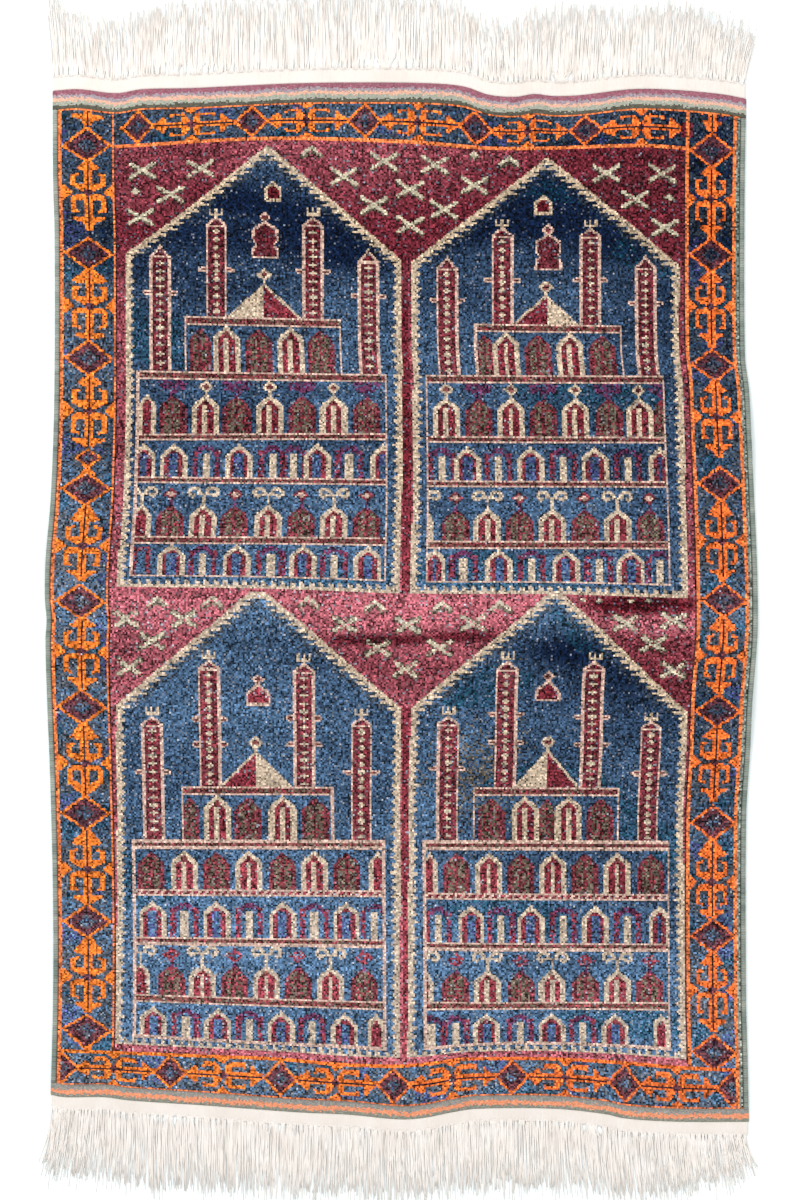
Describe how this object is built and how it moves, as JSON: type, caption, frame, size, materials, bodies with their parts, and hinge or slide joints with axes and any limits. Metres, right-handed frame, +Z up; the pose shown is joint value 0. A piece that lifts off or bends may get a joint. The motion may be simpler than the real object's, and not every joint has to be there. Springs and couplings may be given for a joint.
{
  "type": "knotted wool prayer rug laid flat",
  "caption": "Flat hand-knotted wool rug with flat-woven striped ends, overcast side cords and a cotton fringe at each end.",
  "frame": {"origin": "centre of the whole rug's box, fringes included, on the floor it lies on", "axes": "+Y along the rug's length towards the niches' points, +X to the right seen from above, +Z up out of the pile"},
  "size_m": [0.899, 1.5138, 0.0129],
  "materials": {
    "wool_pile": "short wool pile, patterned in dark blue, madder red, orange and ivory, with flat-woven striped ends",
    "goat_hair_overcasting": "matt grey-green yarn wrapped over the edge",
    "warp_fringe": "matt ivory warp yarn, twisted"
  },
  "bodies": {
    "root": {"rug": "wool_pile", "selvedge_left": "goat_hair_overcasting", "selvedge_right": "goat_hair_overcasting", "fringe_top": "warp_fringe", "fringe_bottom": "warp_fringe"}
  },
  "joints": []
}
